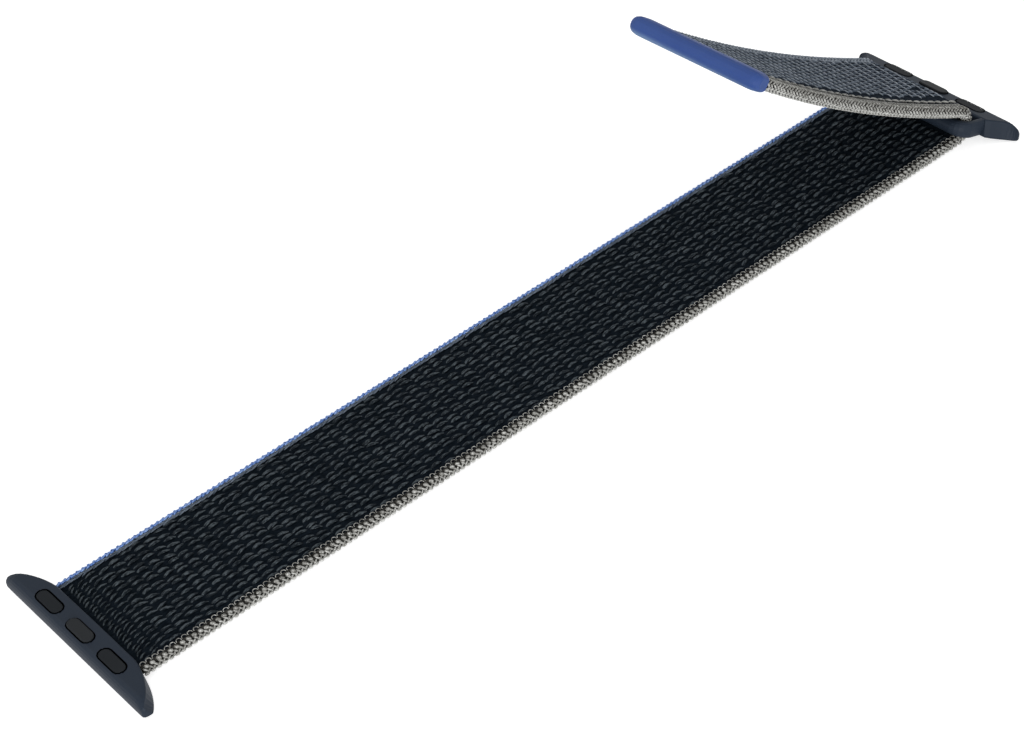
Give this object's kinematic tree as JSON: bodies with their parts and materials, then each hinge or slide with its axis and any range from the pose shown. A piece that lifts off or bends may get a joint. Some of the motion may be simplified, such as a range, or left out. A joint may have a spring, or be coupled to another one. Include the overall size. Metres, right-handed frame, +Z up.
{
  "type": "hook and loop watch strap",
  "caption": "Woven hook and loop watch strap with a fixed lug, a slotted lug that the tail folds through, sprung latches and a pull tab.",
  "frame": {"origin": "centre of the overall box, on the surface that the strap lies on", "axes": "+X along the band from the fixed lug to the slotted lug, +Y across the band to its blue edge, +Z up out of the loop face"},
  "size_m": [0.167, 0.034, 0.0377],
  "materials": {
    "woven_band": "navy-black woven nylon with rows of loops and coloured edges",
    "woven_tail": "grey-blue woven nylon, finer weave",
    "hook_tape": "moulded nylon hooks on a woven tape",
    "pull_tab": "smooth blue moulded elastomer",
    "lug": "dark blue-grey anodised, satin",
    "elastomer_pad": "dark matte elastomer",
    "latch": "dark matte moulded latch",
    "spring_steel": "bright spring steel"
  },
  "bodies": {
    "band_1": {"band_section_1": "woven_band"},
    "band_2": {"band_section_2": "woven_band"},
    "band_3": {"band_section_3": "woven_band"},
    "band_4": {"band_section_4": "woven_band"},
    "band_5": {"band_section_5": "woven_band"},
    "band_6": {"band_section_6": "woven_band", "band_fold": "woven_band"},
    "tail_root": {"band_tail_root": "woven_tail"},
    "tail": {"band_tail": "woven_tail", "hook_tape": "hook_tape", "pull_tab": "pull_tab"},
    "fixed_lug": {"fixed_lug_body": "lug", "fixed_lug_far_pad": "elastomer_pad", "fixed_lug_near_pad": "elastomer_pad", "fixed_lug_far_spring": "spring_steel", "fixed_lug_near_spring": "spring_steel", "fixed_lug_closing_plate": "spring_steel", "band_root": "woven_band"},
    "fixed_latch": {"fixed_lug_latch": "latch"},
    "slotted_lug": {"slotted_lug_body": "lug", "slotted_lug_far_pad": "elastomer_pad", "slotted_lug_near_pad": "elastomer_pad", "slotted_lug_far_spring": "spring_steel", "slotted_lug_near_spring": "spring_steel", "slotted_lug_closing_plate": "spring_steel"},
    "slotted_latch": {"slotted_lug_latch": "latch"}
  },
  "joints": [
    {"name": "wrist_bend", "type": "hinge", "parent": "band_3", "child": "band_4", "pos_m": [-0.00179, 0, 0], "axis": [0, 1, 0], "range_deg": [0, 45]},
    {"name": "wrist_bend_4", "type": "hinge", "parent": "band_4", "child": "band_5", "pos_m": [0.02404, 0, 0], "axis": [0, 1, 0], "range_deg": [0, 45]},
    {"name": "wrist_bend_5", "type": "hinge", "parent": "band_5", "child": "band_6", "pos_m": [0.04988, 0, 0], "axis": [0, 1, 0], "range_deg": [0, 45]},
    {"name": "wrist_bend_2", "type": "hinge", "parent": "band_3", "child": "band_2", "pos_m": [-0.02762, 0, 0], "axis": [0, -1, 0], "range_deg": [0, 45]},
    {"name": "wrist_bend_1", "type": "hinge", "parent": "band_2", "child": "band_1", "pos_m": [-0.05346, 0, 0], "axis": [0, -1, 0], "range_deg": [0, 45]},
    {"name": "fixed_lug_tilt", "type": "hinge", "parent": "band_1", "child": "fixed_lug", "pos_m": [-0.07929, 0, 0.001], "axis": [0, -1, 0], "range_deg": [-25, 30]},
    {"name": "slotted_lug_swivel", "type": "hinge", "parent": "band_6", "child": "slotted_lug", "pos_m": [0.07571, 0, 0.0036], "axis": [0, 1, 0], "range_deg": [-45, 40]},
    {"name": "tail_close", "type": "hinge", "parent": "band_6", "child": "tail_root", "pos_m": [0.07571, 0, 0.0036], "axis": [0, 1, 0], "range_deg": [-28, 0]},
    {"name": "tail_peel", "type": "hinge", "parent": "tail_root", "child": "tail", "pos_m": [0.07377, 0, 0.00863], "axis": [0, 1, 0], "range_deg": [-6, 90]},
    {"name": "fixed_latch_press", "type": "slide", "parent": "fixed_lug", "child": "fixed_latch", "axis": [0, 0, -1], "range_m": [0, 0.0004], "stiffness_N_per_m": 1500, "springref_m": -0.0003, "deforming": ["fixed_lug_far_spring", "fixed_lug_near_spring"]},
    {"name": "slotted_latch_press", "type": "slide", "parent": "slotted_lug", "child": "slotted_latch", "axis": [-0.2924, 0, -0.9563], "range_m": [0, 0.0004], "stiffness_N_per_m": 1500, "springref_m": -0.0003, "deforming": ["slotted_lug_far_spring", "slotted_lug_near_spring"]}
  ],
  "couplings": [
    {"joint": "wrist_bend_4", "follows": "wrist_bend", "ratio": 1},
    {"joint": "wrist_bend_5", "follows": "wrist_bend", "ratio": 1},
    {"joint": "wrist_bend_2", "follows": "wrist_bend", "ratio": 1},
    {"joint": "wrist_bend_1", "follows": "wrist_bend", "ratio": 1}
  ]
}
